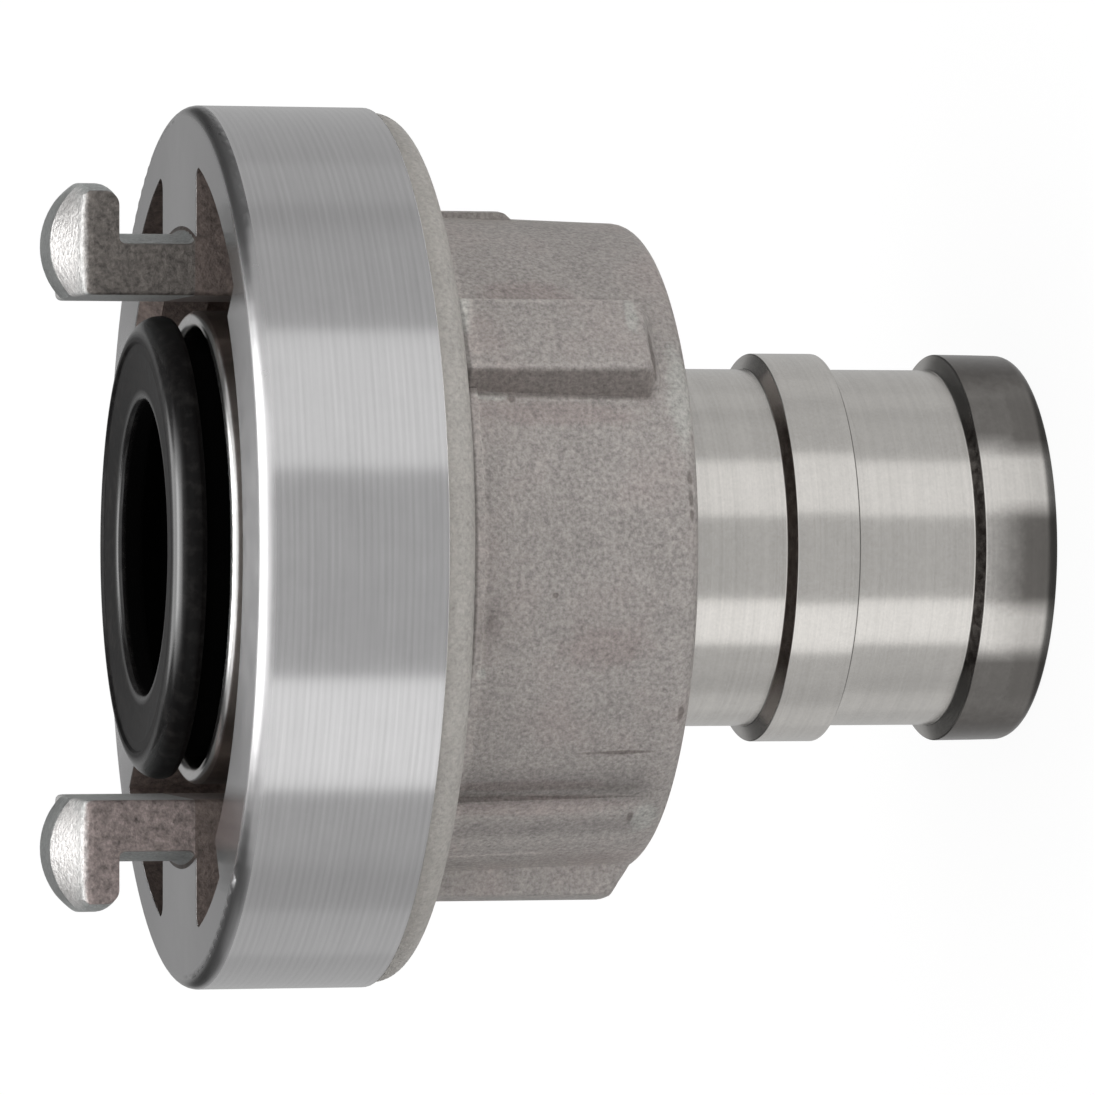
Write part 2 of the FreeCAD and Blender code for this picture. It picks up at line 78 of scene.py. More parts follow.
class Value:
    """A number that varies over a surface: a socket that takes part in arithmetic."""

    def __init__(self, graph: "Graph", socket: bpy.types.NodeSocket) -> None:
        """Wrap a socket of a graph."""
        self.graph = graph
        self.socket = socket

    def math(self, operation: str, *others: "Value | float", clamp: bool = False) -> "Value":
        """Combine this value with others in a Math node.

        Args:
            operation: the Math node's operation.
            others: the node's second and third inputs.
            clamp: whether the result is kept between 0 and 1.

        Returns:
            The node's result.
        """
        inputs = {0: self, **{place + 1: other for place, other in enumerate(others)}}
        settings = {"operation": operation, "use_clamp": clamp}
        return self.graph.value("ShaderNodeMath", 0, settings, inputs)

    def __add__(self, other: "Value | float") -> "Value":
        """This value plus another."""
        return self.math("ADD", other)

    __radd__ = __add__

    def __sub__(self, other: "Value | float") -> "Value":
        """This value less another."""
        return self.math("SUBTRACT", other)

    def __rsub__(self, other: float) -> "Value":
        """A number less this value."""
        settings = {"operation": "SUBTRACT"}
        return self.graph.value("ShaderNodeMath", 0, settings, {0: other, 1: self})

    def __mul__(self, other: "Value | float") -> "Value":
        """This value times another."""
        return self.math("MULTIPLY", other)

    __rmul__ = __mul__

    def __truediv__(self, other: "Value | float") -> "Value":
        """This value divided by another."""
        return self.math("DIVIDE", other)

    def __neg__(self) -> "Value":
        """This value turned about zero."""
        return self.math("MULTIPLY", -1.0)

    def size(self) -> "Value":
        """This value without its sign."""
        return self.math("ABSOLUTE")

    def either(self, other: "Value | float") -> "Value":
        """The larger of two values: inside one mask or the other."""
        return self.math("MAXIMUM", other)

    def above(self, edge: "Value | float", soft: float) -> "Value":
        """A mask that is 1 where this value lies above an edge, and fades over a soft width."""
        return ((self - edge) / soft + 0.5).math("ADD", 0.0, clamp=True)

    def below(self, edge: "Value | float", soft: float) -> "Value":
        """A mask that is 1 where this value lies below an edge."""
        return 1 - self.above(edge, soft)

    def between(self, low: float, high: float, soft: float) -> "Value":
        """A mask that is 1 where this value lies between two edges."""
        return self.above(low, soft) * self.below(high, soft)


Input = Value | bpy.types.NodeSocket | float | Colour


class Graph:
    """The node tree of a material or of the world."""

    def __init__(self, tree: bpy.types.NodeTree) -> None:
        """Empty a node tree and take it over."""
        tree.nodes.clear()
        self.tree = tree

    def node(self, kind: str, settings: dict, inputs: dict) -> bpy.types.Node:
        """Add a node.

        Args:
            kind: the node's type.
            settings: the node's own settings.
            inputs: the values or links of its sockets, by name or place.

        Returns:
            The node.
        """
        node = self.tree.nodes.new(kind)
        for name, setting in settings.items():
            setattr(node, name, setting)
        for name, given in inputs.items():
            socket = given.socket if isinstance(given, Value) else given
            if isinstance(socket, bpy.types.NodeSocket):
                self.tree.links.new(socket, node.inputs[name])
            elif isinstance(socket, tuple) and node.inputs[name].type == "RGBA":
                node.inputs[name].default_value = (*socket, 1.0)
            else:
                node.inputs[name].default_value = socket
        return node

    def value(self, kind: str, output: str | int, settings: dict, inputs: dict) -> Value:
        """Add a node and take one of its outputs as a number."""
        return Value(self, self.node(kind, settings, inputs).outputs[output])

    def stretch(self, vector: bpy.types.NodeSocket, factors: Colour) -> bpy.types.NodeSocket:
        """A vector with each of its parts multiplied."""
        inputs = {0: vector, 1: factors}
        return self.node("ShaderNodeVectorMath", {"operation": "MULTIPLY"}, inputs).outputs[0]

    def parts(self, vector: bpy.types.NodeSocket) -> tuple[Value, Value, Value]:
        """The three parts of a vector."""
        node = self.node("ShaderNodeSeparateXYZ", {}, {0: vector})
        return tuple(Value(self, output) for output in node.outputs)

    def noise(
        self, vector: bpy.types.NodeSocket, scale: float, detail: float = 2.0, rough: float = 0.5
    ) -> Value:
        """Smooth noise about 0.5.

        Args:
            vector: where the noise is read.
            scale: how many lumps stand in one unit of the vector.
            detail: how many finer layers are added.
            rough: how strong the finer layers are.

        Returns:
            The noise.
        """
        inputs = {"Vector": vector, "Scale": scale, "Detail": detail, "Roughness": rough}
        return self.value("ShaderNodeTexNoise", "Fac", {}, inputs)

    def mix(self, factor: Input, low: Input, high: Input) -> bpy.types.NodeSocket:
        """Mix two colours.

        Args:
            factor: the share of the second colour.
            low: the colour where the factor is 0.
            high: the colour where it is 1.

        Returns:
            The mixed colour.
        """
        inputs = {0: factor, 6: low, 7: high}
        settings = {"data_type": "RGBA", "clamp_factor": True}
        return self.node("ShaderNodeMix", settings, inputs).outputs[2]

    def shade(self, colour: Input, factor: Value) -> bpy.types.NodeSocket:
        """A colour made darker or lighter by a factor, where 1 leaves it as it is."""
        inputs = {0: colour, "Scale": factor}
        return self.node("ShaderNodeVectorMath", {"operation": "SCALE"}, inputs).outputs[0]

    def bump(self, height: Value, rise: float) -> bpy.types.NodeSocket:
        """The normal of a surface raised by a height, where 1 stands a rise in millimetres."""
        inputs = {"Height": height, "Distance": rise * MM, "Strength": 1.0}
        return self.node("ShaderNodeBump", {}, inputs).outputs[0]


class Place:
    """A place on a piece, in millimetres of the object's frame."""

    def __init__(self, graph: Graph) -> None:
        """Read the piece's own coordinates."""
        coordinates = graph.node("ShaderNodeTexCoord", {}, {}).outputs["Object"]
        self.graph = graph
        self.vector = graph.stretch(coordinates, (1 / MM, 1 / MM, 1 / MM))
        self.x, self.y, self.z = graph.parts(self.vector)

    def radius(self) -> Value:
        """The distance from the axis."""
        return (self.x * self.x + self.y * self.y).math("SQRT")

    def turn(self) -> Value:
        """The angle round the axis in degrees, from the near side towards +X."""
        return self.x.math("ARCTAN2", -self.y) * (180 / math.pi)

    def noise(self, scale: float, detail: float = 2.0, rough: float = 0.5) -> Value:
        """Noise with as many lumps in a millimetre as the scale says."""
        return self.graph.noise(self.vector, scale, detail, rough)

    def lines(self, across: float, along: float, detail: float = 3.0, rough: float = 0.6) -> Value:
        """Noise drawn out round the axis, as a turning tool leaves it.

        Args:
            across: how many lumps stand in a millimetre across the axis.
            along: how many lumps stand in a millimetre along the axis.
            detail: how many finer layers are added.
            rough: how strong the finer layers are.

        Returns:
            The noise.
        """
        drawn = self.graph.stretch(self.vector, (across, across, along))
        return self.graph.noise(drawn, 1.0, detail, rough)


def new_material(name: str) -> tuple[bpy.types.Material, Graph]:
    """Start a new material.

    Args:
        name: the name of the material.

    Returns:
        The material, and its empty node tree.
    """
    material = bpy.data.materials.new(name)
    material.use_nodes = True
    return material, Graph(material.node_tree)


def surface(graph: Graph, inputs: dict) -> None:
    """End a material's node tree in one Principled shader with the inputs given."""
    shader = graph.node("ShaderNodeBsdfPrincipled", {}, inputs)
    graph.node("ShaderNodeOutputMaterial", {}, {"Surface": shader.outputs[0]})


# The finishes


@dataclass(frozen=True)
class Spot:
    """A small patch of the casting's skin, placed by its angle and its height."""

    deg: float
    height: float
    reach_deg: float
    reach: float

    def mask(self, turn: Value, z: Value, fray: Value) -> Value:
        """The mask of the patch.

        Args:
            turn: the angle round the axis, in degrees.
            z: the height, in millimetres.
            fray: noise that frays the patch's edge.

        Returns:
            The mask, 1 in the patch's middle.
        """
        across = (turn - self.deg) / self.reach_deg
        along = (z - self.height) / self.reach
        distance = (across * across + along * along).math("SQRT")
        return distance.below(fray * 1.2 + 0.3, 0.5)


@dataclass(frozen=True)
class PaintedLightBand:
    """A band of painted light, or of painted shade where its gain is negative, along the hub."""

    deg: float
    half_deg: float
    gain: float
    from_z: float = 27.0
    to_z: float = 39.2

    def change(self, turn: Value, z: Value) -> Value:
        """How much lighter the band makes the skin at a place.

        Args:
            turn: the angle round the axis, in degrees.
            z: the height, in millimetres.

        Returns:
            The change, the gain in the band's middle.
        """
        near = (turn - self.deg).size().below(self.half_deg / 2, self.half_deg)
        return near * z.between(self.from_z, self.to_z, 1.2) * self.gain


@dataclass(frozen=True)
class RingZones:
    """The masks of the lug ring's parts, each 1 on its part."""

    machined: Value
    band: Value
    front: Value
    rounding: Value
    lug: Value
    side: Value
    high: Value
    crown: Value
    inside: Value
    collar: Value


@dataclass(frozen=True)
class RingFinish:
    """The lug ring: sand cast, then machined on its band, its front and its rims.

    The heights and radii say where the tool stopped; all are in millimetres.
    """

    band_rear: float
    band_front: float
    front: float
    band_r: float
    channel_r: float
    rim_r: float
    rib_r: float
    rib_deg: float
    lug_half_width: float
    tip: float
    rib_step_deg: float = 120.0
    # Where the painted shade on each rib's lower wall lies.
    rib_wall_deg: tuple[float, float] = (-10.0, -6.5)
    rib_wall_z: tuple[float, float] = (27.7, 39.6)
    lit_slope_z: float = 38.5
    crease_shade_z: float = 39.15
    crease_shade_top: float = 39.5
    facet_fall: float = 1.55
    crown_half_width: float = 2.0
    collar_length: float = 2.3
    wall_depth: float = 1.05
    cavity_rise: float = 1.4
    margin: float = 0.3
    hub_colour: Colour = (0.39, 0.363, 0.346)
    rosy_colour: Colour = (0.345, 0.30, 0.287)
    pale_colour: Colour = (0.46, 0.455, 0.43)
    rim_colour: Colour = (0.43, 0.41, 0.385)
    recess_shade_colour: Colour = (0.15, 0.12, 0.108)
    flank_colour: Colour = (0.135, 0.122, 0.112)
    minus_x_flank_colour: Colour = (0.24, 0.20, 0.19)
    facet_colour: Colour = (0.84, 0.82, 0.805)
    crown_colour: Colour = (0.33, 0.34, 0.335)
    # The colour of the dark marks and of the painted shade.
    dark_mark_and_shade_colour: Colour = (0.12, 0.10, 0.09)
    machined_colour: Colour = (0.66, 0.655, 0.66)
    line_pitch: float = 0.42
    hair: float = 0.02
    cast_metallic: float = 0.4
    rosy_spots: tuple[Spot, ...] = (
        Spot(23.0, 33.5, 2.4, 5.0),
        Spot(-50.0, 34.0, 2.4, 7.0),
        Spot(-17.0, 31.0, 4.0, 3.0),
        Spot(48.0, 34.5, 4.0, 3.0),
        Spot(-45.0, 35.0, 1.6, 6.0),
    )
    # Pale marks of the skin, with painted light at the ribs' ends.
    pale_marks_and_lit_spots: tuple[Spot, ...] = (
        Spot(27.0, 25.9, 10.0, 0.9),
        # Painted light beside the end of the rib at -84 degrees.
        Spot(-54.5, 26.7, 4.5, 0.9),
        Spot(41.0, 39.4, 6.0, 0.8),
        Spot(-21.5, 38.6, 1.0, 0.3),
        Spot(26.0, 37.8, 0.8, 1.4),
        # Painted light on the end slope of the rib at 36 degrees.
        Spot(39.5, 28.75, 4.0, 0.4),
    )
    # Dark marks of the skin, with painted shadows at the ribs' ends.
    dark_marks_and_shadows: tuple[Spot, ...] = (
        # Painted shadow at the end of the rib at -84 degrees.
        Spot(-54.0, 27.6, 1.8, 0.22),
        Spot(12.0, 25.75, 1.2, 0.2),
        Spot(8.6, 25.75, 1.5, 0.2),
        Spot(5.6, 25.7, 0.9, 0.16),
        Spot(-29.5, 25.75, 1.8, 0.2),
        Spot(-37.4, 29.3, 0.45, 2.3),
        Spot(-8.0, 34.2, 0.5, 0.2),
        Spot(25.6, 36.6, 0.8, 0.3),
        # Painted shadow below the end of the rib at 36 degrees.
        Spot(33.0, 27.65, 5.5, 0.26),
    )
    # Painted light and painted shade round the ribs, the crease and the collar.
    painted_light_bands: tuple[PaintedLightBand, ...] = (
        PaintedLightBand(-45.6, 6.0, -0.36),
        PaintedLightBand(-50.6, 3.4, 0.24),
        PaintedLightBand(-56.5, 3.4, -0.16),
        PaintedLightBand(-61.0, 2.4, 0.12),
        PaintedLightBand(-66.2, 0.7, 0.34, 32.0, 38.6),
        PaintedLightBand(-70.0, 4.0, -0.12),
        PaintedLightBand(-14.0, 9.0, -0.07),
        PaintedLightBand(-30.0, 13.0, -0.10),
        PaintedLightBand(-12.5, 6.5, -0.26, 37.6, 38.9),
        PaintedLightBand(41.0, 5.0, 0.20, 38.8, 40.2),
        PaintedLightBand(45.0, 1.8, -0.14, 28.0, 39.0),
        PaintedLightBand(42.6, 0.9, 0.16, 29.0, 38.6),
        PaintedLightBand(29.8, 0.7, 0.14, 29.0, 39.0),
        PaintedLightBand(25.6, 0.5, 0.10, 29.0, 39.0),
    )

    def material(self) -> bpy.types.Material:
        """Build the finish of the whole casting.

        Returns:
            The material.
        """
        material, graph = new_material(Slot.CAST.value)
        place = Place(graph)
        radius = place.radius()
        grain = place.noise(3.8, 2.0, 0.6)
        fine = place.noise(8.0, 1.0)
        patch = place.noise(0.22, 3.0, 0.55)
        fray = place.noise(1.4, 3.0, 0.7)
        zones = self._zones(place, radius, fray)

        hub = self._hub(place, radius, patch, fray, zones.collar)
        # The channel and windows are darkened: painted shade of the recesses over the cast tone.
        cast = graph.mix(zones.inside, hub, self.recess_shade_colour)
        cast = graph.mix(zones.lug, cast, self._hook(place, zones))
        mottle = place.noise(1.7, 3.0, 0.65)
        dark_part = zones.inside.either(zones.lug * zones.side * (1 - zones.high))
        skin = 1 + (grain - 0.5) * 1.25 + (fine - 0.5) * 0.4 + (patch - 0.5) * 0.4
        smooth = zones.collar * (1 - zones.lug) * 0.4
        skin = skin * (1 - smooth) + smooth + (mottle - 0.5) * (0.3 + dark_part * 1.7)
        cast = graph.shade(cast, skin)

        turns = (place.z * (2 * math.pi / self.line_pitch)).math("SINE")
        rings = (radius * (2 * math.pi / self.line_pitch)).math("SINE")
        along = place.lines(0.12, 5.0)
        rub = place.noise(0.5, 3.0, 0.6)
        machined = zones.machined
        tool = 1 + turns * zones.band * 0.03 + (along - 0.5) * 0.22 + (rub - 0.5) * 0.12
        colour = graph.mix(machined, cast, graph.shade(self.machined_colour, tool))

        tip = zones.high * zones.lug
        rough = (0.5 + grain * 0.12) * (1 - machined) + (0.19 + rub * 0.05) * machined
        rough = rough + zones.rounding * 0.07 - tip * 0.1
        bright = machined.either(tip * 0.6)
        height = (grain * 0.06 + fine * 0.025) * (1 - machined)
        height = height + turns * zones.band * 0.0006 + rings * zones.front * 0.0005
        height = height + along * machined * 0.0006
        surface(graph, {
            "Base Color": colour,
            "Metallic": bright * (1 - self.cast_metallic) + self.cast_metallic,
            "Roughness": rough,
            "Anisotropic": 0.9,
            "Anisotropic Rotation": 0.25,
            "Normal": graph.bump(height, 1.0),
        })
        return material

    def _zones(self, place: Place, radius: Value, fray: Value) -> RingZones:
        """Tell the casting's parts and its machined surfaces from each other.

        Args:
            place: the place on the ring.
            radius: its distance from the axis.
            fray: noise that frays the edge of the bright tips.

        Returns:
            The masks.
        """
        z = place.z
        across = place.y.size()
        wall = radius.above(self.band_r - self.wall_depth, self.hair)
        band = wall * z.above(self.band_rear + self.hair, self.hair)
        front = z.between(self.front - 2 * self.hair, self.front + 2 * self.hair, self.hair)
        front = front * radius.above(self.rim_r - self.margin, self.hair)
        lug = z.above(self.front + 0.05, self.hair)
        facet_edge = self.tip - self.facet_fall
        crown = z.above(facet_edge - 0.6, self.hair) * across.below(self.crown_half_width, 0.1)
        inside = radius.below(self.channel_r + 0.1, self.hair)
        inside = inside * z.above(self.band_rear + self.cavity_rise, 0.2)
        return RingZones(
            machined=band.either(front),
            band=band,
            front=front,
            rounding=wall * z.above(self.band_front, self.hair) * (1 - front),
            lug=lug,
            side=across.above(self.lug_half_width - self.margin, 0.2),
            high=(z + (fray - 0.5) * 0.5).above(facet_edge + 0.1, 0.75),
            crown=crown,
            inside=inside * (1 - front) * (1 - lug),
            collar=z.above(self.band_rear - self.collar_length, 0.3),
        )

    def _hub(
        self, place: Place, radius: Value, patch: Value, fray: Value, collar: Value
    ) -> bpy.types.NodeSocket:
        """The colour of the hub's cast skin, with its patches and marks, and its painted light and
        shade.

        Args:
            place: the place on the ring.
            radius: its distance from the axis.
            patch: broad noise that tints the skin.
            fray: noise that frays the edges of the marks.
            collar: the mask of the pale slope behind the band.

        Returns:
            The colour.
        """
        graph = place.graph
        z = place.z
        turn = place.turn()
        rosy = self._marks(self.rosy_spots, turn, z, fray)
        pale = self._marks(self.pale_marks_and_lit_spots, turn, z, fray)
        dark = self._marks(self.dark_marks_and_shadows, turn, z, fray)
        # The dark marks, some of them painted shadows, and the painted shade on the ribs' lower
        # walls.
        darkening = (dark * 0.6).either(self._rib_wall_shade(turn, radius, z) * 0.62)
        hub = graph.mix(patch.above(0.6, 0.25) * 0.6, self.hub_colour, self.rosy_colour)
        hub = graph.mix(rosy * 0.75, hub, self.rosy_colour)
        hub = graph.mix(pale * 0.8, hub, self.pale_colour)
        hub = graph.mix(collar, hub, self.rim_colour)
        hub = graph.mix(darkening, hub, self.dark_mark_and_shade_colour)
        return graph.shade(hub, self._painted_light_and_shade(turn, z, fray))

    def _hook(self, place: Place, zones: RingZones) -> bpy.types.NodeSocket:
        """The colour of a lug: its dull sides, its crown and its bright bevelled tip.

        Args:
            place: the place on the ring.
            zones: the masks of the ring's parts.

        Returns:
            The colour.
        """
        graph = place.graph
        # The lug at -X has lighter flanks than the lug at +X.
        flank = graph.mix(place.x.below(0.0, 1.0), self.flank_colour, self.minus_x_flank_colour)
        hook = graph.mix(zones.side, self.crown_colour, flank)
        hook = graph.mix(zones.high, hook, self.facet_colour)
        return graph.mix(zones.crown, hook, self.crown_colour)

    def _marks(self, spots: tuple[Spot, ...], turn: Value, z: Value, fray: Value) -> Value:
        """The mask of several patches together."""
        return reduce(Value.either, [spot.mask(turn, z, fray) for spot in spots])

    def _painted_light_and_shade(self, turn: Value, z: Value, fray: Value) -> Value:
        """The factor of the hub's painted light and shade, in its bands and at its collar.

        Args:
            turn: the angle round the axis, in degrees.
            z: the height, in millimetres.
            fray: noise that bends the bands.

        Returns:
            The factor, which is 1 on plain skin.
        """
        # Painted light on the slope next to the collar, and painted shade in the crease where it
        # meets the ring.
        pale = z.between(self.lit_slope_z, self.crease_shade_z, 0.2)
        dark = z.between(self.crease_shade_z, self.crease_shade_top, 0.12)
        factor = pale * 0.16 - dark * 0.36 + 1
        for light_band in self.painted_light_bands:
            factor = factor + light_band.change(turn + (fray - 0.5) * 1.6, z)
        return factor

    def _rib_wall_shade(self, turn: Value, radius: Value, z: Value) -> Value:
        """The mask of the painted shade on the lower wall of each of the three ribs.

        Args:
            turn: the angle round the axis, in degrees.
            radius: the distance from the axis, in millimetres.
            z: the height, in millimetres.

        Returns:
            The mask.
        """
        step = self.rib_step_deg
        from_rib = (turn - self.rib_deg + 3.5 * step).math("MODULO", step) - step / 2
        wall = from_rib.between(*self.rib_wall_deg, 0.8) * radius.below(self.rib_r - 0.02, 0.2)
        return wall * z.between(*self.rib_wall_z, 0.5)


@dataclass(frozen=True)
class TurnedFinish:
    """The hose tail: bright turned aluminium, stained towards its end, with painted shade in its
    corners.
    """

    stain_top: float
    corner_z: tuple[float, ...]
    corner_length: float
    cup_floor: float
    cup_rim: float
    cup_r: float
    colour: Colour = (0.80, 0.775, 0.74)
    stain: Colour = (0.128, 0.117, 0.108)
    rim_colour: Colour = (0.95, 0.94, 0.93)
    shade_colours: tuple[Colour, ...] = ((0.03, 0.025, 0.023), (0.085, 0.068, 0.06))

    def material(self) -> bpy.types.Material:
        """Build the finish of the tail.

        Returns:
            The material.
        """
        material, graph = new_material(Slot.TURNED.value)
        place = Place(graph)
        x, z = place.x, place.z
        radius = place.radius()
        lines = place.lines(0.06, 7.0)
        broad = place.lines(0.08, 1.3, 2.0, 0.5)
        speck = place.noise(1.6, 4.0, 0.65)
        fine = place.noise(6.0, 2.0, 0.6)
        shade = 1 + (lines - 0.5) * 0.2 + (broad - 0.5) * 0.16
        shade = shade + (speck - 0.5) * 0.2 + (fine - 0.5) * 0.16
        # The end ridge's stain, with painted reflections of the light panels kept clean.
        colour = graph.mix(self._stain_and_reflection(x, z, speck), self.colour, self.stain)
        # Painted shade in the corners at each ridge's foot, weaker towards +X and -X.
        for foot, shade_colour in zip(self.corner_z, self.shade_colours):
            darkening = z.between(foot - 0.02, foot + self.corner_length, 0.05)
            darkening = darkening * x.size().below(9.2, 4.0) * (0.7 + speck * 0.5)
            colour = graph.mix(darkening, colour, shade_colour)
        # Everything above the cup's floor, inside the ring and the cup, is darkened a little:
        # painted shade.
        colour = graph.mix(z.above(self.cup_floor, 0.3) * 0.3, colour, self.shade_colours[0])
        rim = z.above(self.cup_rim - 0.45, 0.1) * radius.above(self.cup_r - 0.05, 0.05)
        colour = graph.mix(rim, colour, self.rim_colour)
        surface(graph, {
            "Base Color": graph.shade(colour, shade),
            "Metallic": 1.0,
            "Roughness": 0.21 + speck * 0.08,
            "Anisotropic": 0.85,
            "Anisotropic Rotation": 0.25,
            "Normal": graph.bump(lines + speck * 0.2 + fine * 0.3, 0.0012),
        })
        return material

    def _stain_and_reflection(self, x: Value, z: Value, speck: Value) -> Value:
        """How much of the end ridge's stain lies at a place.

        It is heaviest at the end face and on the two flanks. Two strips along the ridge, where the
        light panels are mirrored, are kept nearly clean: a painted reflection.

        Args:
            x: the distance from the middle, in millimetres.
            z: the height, in millimetres.
            speck: noise that frays the stain.

        Returns:
            The share of the stain.
        """
        low = (z + (speck - 0.5) * 0.9).below(self.stain_top - 1.2, 2.8) * 0.8
        aside = x.size().above(6.4, 1.6) * (0.65 + speck * 0.2)
        aside = aside + x.size().above(10.3, 1.6) * 0.25
        mirrored_panels = (x.between(2.4, 6.1, 1.3) * 0.85).either(x.between(-6.6, -3.7, 1.3) * 0.6)
        return low.either(aside) * (1 - mirrored_panels) * z.below(self.stain_top, 0.1)


@dataclass(frozen=True)
class RubberFinish:
    """The seal: black moulded rubber, glossy on the bead round its head."""

    crest: float
    head_depth: float
    bead_r: float
    hole_r: float
    colour: Colour = (0.005, 0.0047, 0.0048)
    dust_colour: Colour = (0.016, 0.015, 0.0145)
    deep_shade_colour: Colour = (0.0006, 0.0006, 0.0006)

    def material(self) -> bpy.types.Material:
        """Build the finish of the seal.

        Returns:
            The material.
        """
        material, graph = new_material(Slot.RUBBER.value)
        place = Place(graph)
        z = place.z
        radius = place.radius()
        dust = place.noise(1.2, 4.0, 0.6)
        pores = place.noise(7.0)
        lip = radius.below(self.hole_r + 0.5, 0.4)
        bead = radius.between(self.bead_r + 0.55, self.bead_r + 1.3, 0.5)
        bead = bead.either(lip * 0.7) * z.above(self.crest - 1.3, 0.4)
        # The hole and everything below the head are painted near black: painted shade.
        hole = radius.below(self.hole_r + 0.1, 0.15) * z.below(self.crest - 0.9, 0.25)
        deep_shade = z.below(self.crest - self.head_depth, 0.15).either(hole)
        skin = graph.mix(dust.above(0.6, 0.25), self.colour, self.dust_colour)
        surface(graph, {
            "Base Color": graph.mix(deep_shade, skin, self.deep_shade_colour),
            "Roughness": (0.3 + dust * 0.2) * (1 - deep_shade) + deep_shade * 0.9,
            "Specular IOR Level": 0.05,
            "Coat Weight": (bead * 0.9 + 0.04) * (1 - deep_shade),
            "Coat IOR": 1.75,
            "Coat Roughness": 0.16,
            "Normal": graph.bump(pores, 0.008),
        })
        return material


@dataclass(frozen=True)
class WireFinish:
    """The retaining ring: drawn spring wire."""

    colour: Colour = (0.62, 0.62, 0.63)

    def material(self) -> bpy.types.Material:
        """Build the finish of the wire.

        Returns:
            The material.
        """
        material, graph = new_material(Slot.WIRE.value)
        draw = Place(graph).lines(0.4, 6.0, 2.0, 0.5)
        surface(graph, {
            "Base Color": graph.shade(self.colour, 0.85 + draw * 0.3),
            "Metallic": 1.0,
            "Roughness": 0.25 + draw * 0.15,
            "Normal": graph.bump(draw, 0.004),
        })
        return material


@dataclass(frozen=True)
class PlasticFinish:
    """The slip ring: plain moulded plastic."""

    colour: Colour = (0.82, 0.80, 0.74)

    def material(self) -> bpy.types.Material:
        """Build the finish of the slip ring.

        Returns:
            The material.
        """
        material, graph = new_material(Slot.PLASTIC.value)
        place = Place(graph)
        mottle = place.noise(0.8, 3.0)
        surface(graph, {
            "Base Color": graph.shade(self.colour, 0.9 + mottle * 0.2),
            "Roughness": 0.42 + mottle * 0.1,
            "Normal": graph.bump(place.noise(5.0), 0.006),
        })
        return material


# Turned meshes


@dataclass(frozen=True)
class Corner:
    """One corner of a turned outline, in millimetres, with the radius that rounds it."""

    r: float
    z: float
    rounding: float = 0.0
    segments: int = 4


def turned(name: str, corners: list[Corner], steps: int) -> bpy.types.Object:
    """Turn a closed outline round the axis.

    Args:
        name: the name of the piece.
        corners: the outline's corners in order.
        steps: how many steps make the full turn.

    Returns:
        The piece, in place.
    """
    mesh = bmesh.new()
    points = [mesh.verts.new((corner.r * MM, 0, corner.z * MM)) for corner in corners]
    for here, after in zip(points, points[1:] + points[:1]):
        mesh.edges.new((here, after))
    reaches = [rounding_reach(corners, place) for place in range(len(corners))]
    for point, corner, reach in zip(points, corners, reaches):
        if corner.rounding > 0:
            bmesh.ops.bevel(
                mesh,
                geom=[point],
                offset=reach * MM,
                offset_type="OFFSET",
                segments=corner.segments,
                profile=0.5,
                affect="VERTICES",
                material=-1,
            )
    bmesh.ops.spin(
        mesh,
        geom=mesh.verts[:] + mesh.edges[:],
        cent=(0, 0, 0),
        axis=(0, 0, 1),
        dvec=(0, 0, 0),
        angle=2 * math.pi,
        steps=steps,
        use_merge=True,
        use_duplicate=False,
    )
    bmesh.ops.remove_doubles(mesh, verts=mesh.verts, dist=1e-7)
    bmesh.ops.recalc_face_normals(mesh, faces=mesh.faces)
    return finished(name, mesh)


def rounding_reach(corners: list[Corner], place: int) -> float:
    """Find how far a corner's rounding runs along the two lines that meet there.

    Args:
        corners: the outline's corners in order.
        place: which corner it is.

    Returns:
        The distance from the corner to the ends of its arc, in millimetres.
    """
    here = Vector((corners[place].r, corners[place].z))
    before = corners[place - 1]
    after = corners[(place + 1) % len(corners)]
    back = Vector((before.r, before.z)) - here
    ahead = Vector((after.r, after.z)) - here
    return corners[place].rounding / math.tan(back.angle(ahead) / 2)


def finished(name: str, mesh: bmesh.types.BMesh) -> bpy.types.Object:
    """Make a piece of a mesh, smooth but for its sharp edges, with flats kept flat.

    Args:
        name: the name of the piece.
        mesh: its mesh, in place, which is used up.

    Returns:
        The piece, with its object at the origin.
    """
    data = bpy.data.meshes.new(name)
    mesh.to_mesh(data)
    mesh.free()
    data.shade_smooth()
    data.set_sharp_from_angle(angle=math.radians(32))
    piece = bpy.data.objects.new(name, data)
    bpy.context.scene.collection.objects.link(piece)
    flats = piece.modifiers.new("flats_kept_flat", "WEIGHTED_NORMAL")
    flats.keep_sharp = True
    return piece


def stand_for(piece: bpy.types.Object, node: str) -> None:
    """Put a new piece of the tail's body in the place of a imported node.

    Args:
        piece: the new piece.
        node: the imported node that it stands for.
    """
    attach(piece, TAIL_BODY)
    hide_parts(node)


def wear(node: str, material: bpy.types.Material) -> bpy.types.Object:
    """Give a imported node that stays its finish.

    Args:
        node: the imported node.
        material: the finish.

    Returns:
        The node's object.
    """
    piece = frame["nodes"][node]
    for place in range(len(piece.data.materials)):
        piece.data.materials[place] = material
    return piece


# The coupling's pieces


@dataclass
class LugRing:
    """The cast ring with its two hooked lugs, its locking rims and its hub."""

    front: float
    tip: float
    band_length: float = 10.4
    front_round: float = 0.9
    band_r: float = 27.5
    channel_r: float = 24.3
    rim_r: float = 20.3
    rib_r: float = 22.2
    rib_deg: float = 35.9
    lug_half_width: float = 5.85

    def dress(self) -> bpy.types.Object:
        """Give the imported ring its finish.

        Returns:
            The ring's object.
        """
        band_front = self.front - self.front_round
        finish = RingFinish(
            band_rear=band_front - self.band_length,
            band_front=band_front,
            front=self.front,
            band_r=self.band_r,
            channel_r=self.channel_r,
            rim_r=self.rim_r,
            rib_r=self.rib_r,
            rib_deg=self.rib_deg,
            lug_half_width=self.lug_half_width,
            tip=self.tip,
        )
        return wear("lug_ring", finish.material())


